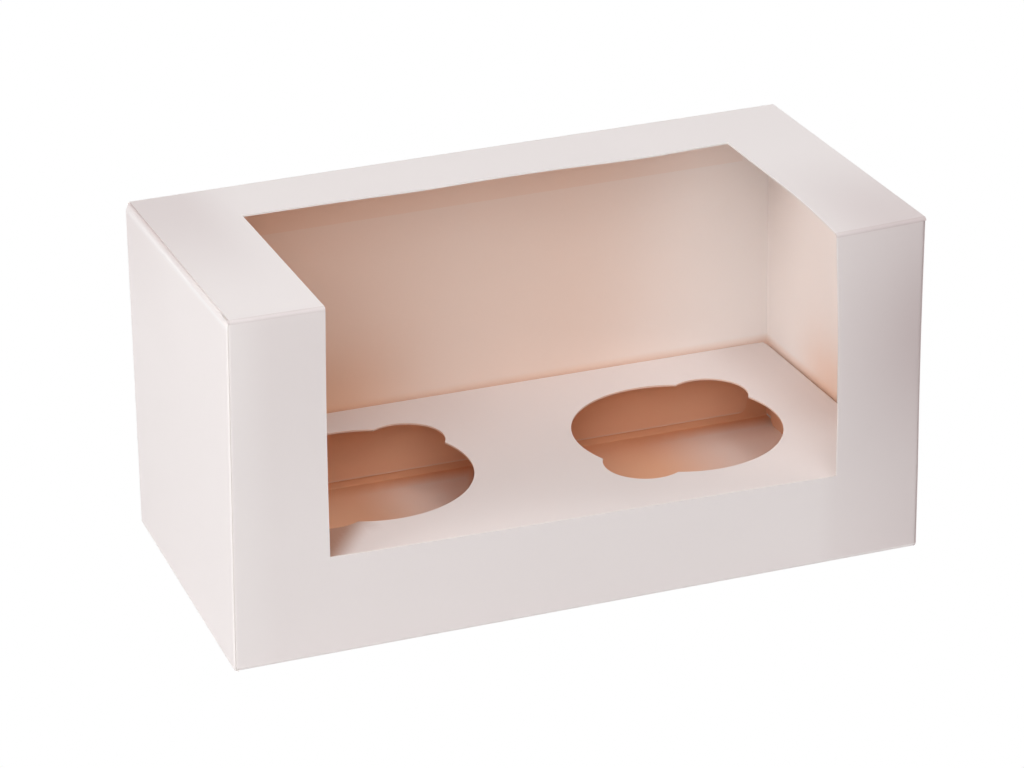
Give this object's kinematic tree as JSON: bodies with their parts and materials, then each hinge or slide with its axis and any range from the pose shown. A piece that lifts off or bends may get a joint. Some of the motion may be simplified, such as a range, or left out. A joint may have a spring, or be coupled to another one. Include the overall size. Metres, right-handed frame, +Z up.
{
  "type": "cupcake box",
  "caption": "Folded white card box with a window cut over its front top edge, tuck end flaps and a raised insert with holes that hold cup cakes.",
  "frame": {"origin": "under the middle of the closed box, on the surface it stands on", "axes": "+X along the box's length, +Y from the window side to the back wall, +Z up"},
  "size_m": [0.195, 0.095, 0.098],
  "materials": {
    "carton_board": "matte",
    "flap_board": "matte",
    "insert_board": "matte"
  },
  "bodies": {
    "carton": {"carton": "carton_board", "insert": "insert_board"},
    "left_flap": {"left_end_flap": "flap_board"},
    "right_flap": {"right_end_flap": "flap_board"}
  },
  "joints": [
    {"name": "left_flap_hinge", "type": "hinge", "parent": "carton", "child": "left_flap", "pos_m": [-0.09725, 0, 0.00025], "axis": [0, -1, 0], "range_deg": [0, 90]},
    {"name": "right_flap_hinge", "type": "hinge", "parent": "carton", "child": "right_flap", "pos_m": [0.09725, 0, 0.00025], "axis": [0, 1, 0], "range_deg": [0, 90]}
  ]
}
